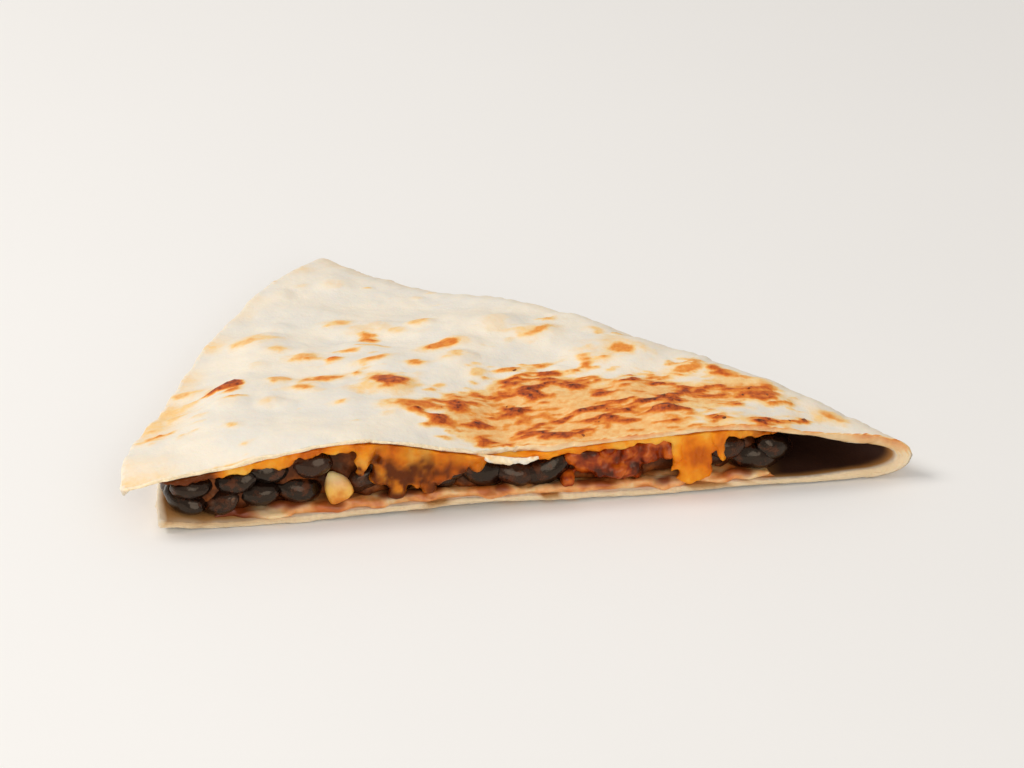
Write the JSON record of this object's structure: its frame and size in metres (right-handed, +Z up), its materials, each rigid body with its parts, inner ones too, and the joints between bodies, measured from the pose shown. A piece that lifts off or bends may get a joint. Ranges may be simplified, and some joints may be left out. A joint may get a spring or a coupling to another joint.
{
  "type": "quesadilla wedge",
  "caption": "Cut wedge of a griddled, folded flour tortilla filled with black beans, melted orange cheese, red salsa and corn.",
  "frame": {"origin": "under the middle of the wedge's box, on the surface it lies on", "axes": "+X along the knife cut, from the rim towards the corner where the cut meets the fold; -Y out of the cut face; +Z up through the layers"},
  "size_m": [0.149, 0.1036, 0.0169],
  "materials": {
    "tortilla": "baked flour tortilla, matte, pale with toasted spots",
    "cheese": "melted cheddar, glossy",
    "beans": "cooked black beans, glossy",
    "salsa": "red pepper salsa, wet",
    "base_cheese": "cheese melted into the lower leaf",
    "corn": "corn kernel, glossy"
  },
  "bodies": {
    "root": {"tortilla": "tortilla", "cheese": "cheese", "bean_filling": "beans", "salsa": "salsa", "base_cheese": "base_cheese", "corn_kernel": "corn"}
  },
  "joints": []
}
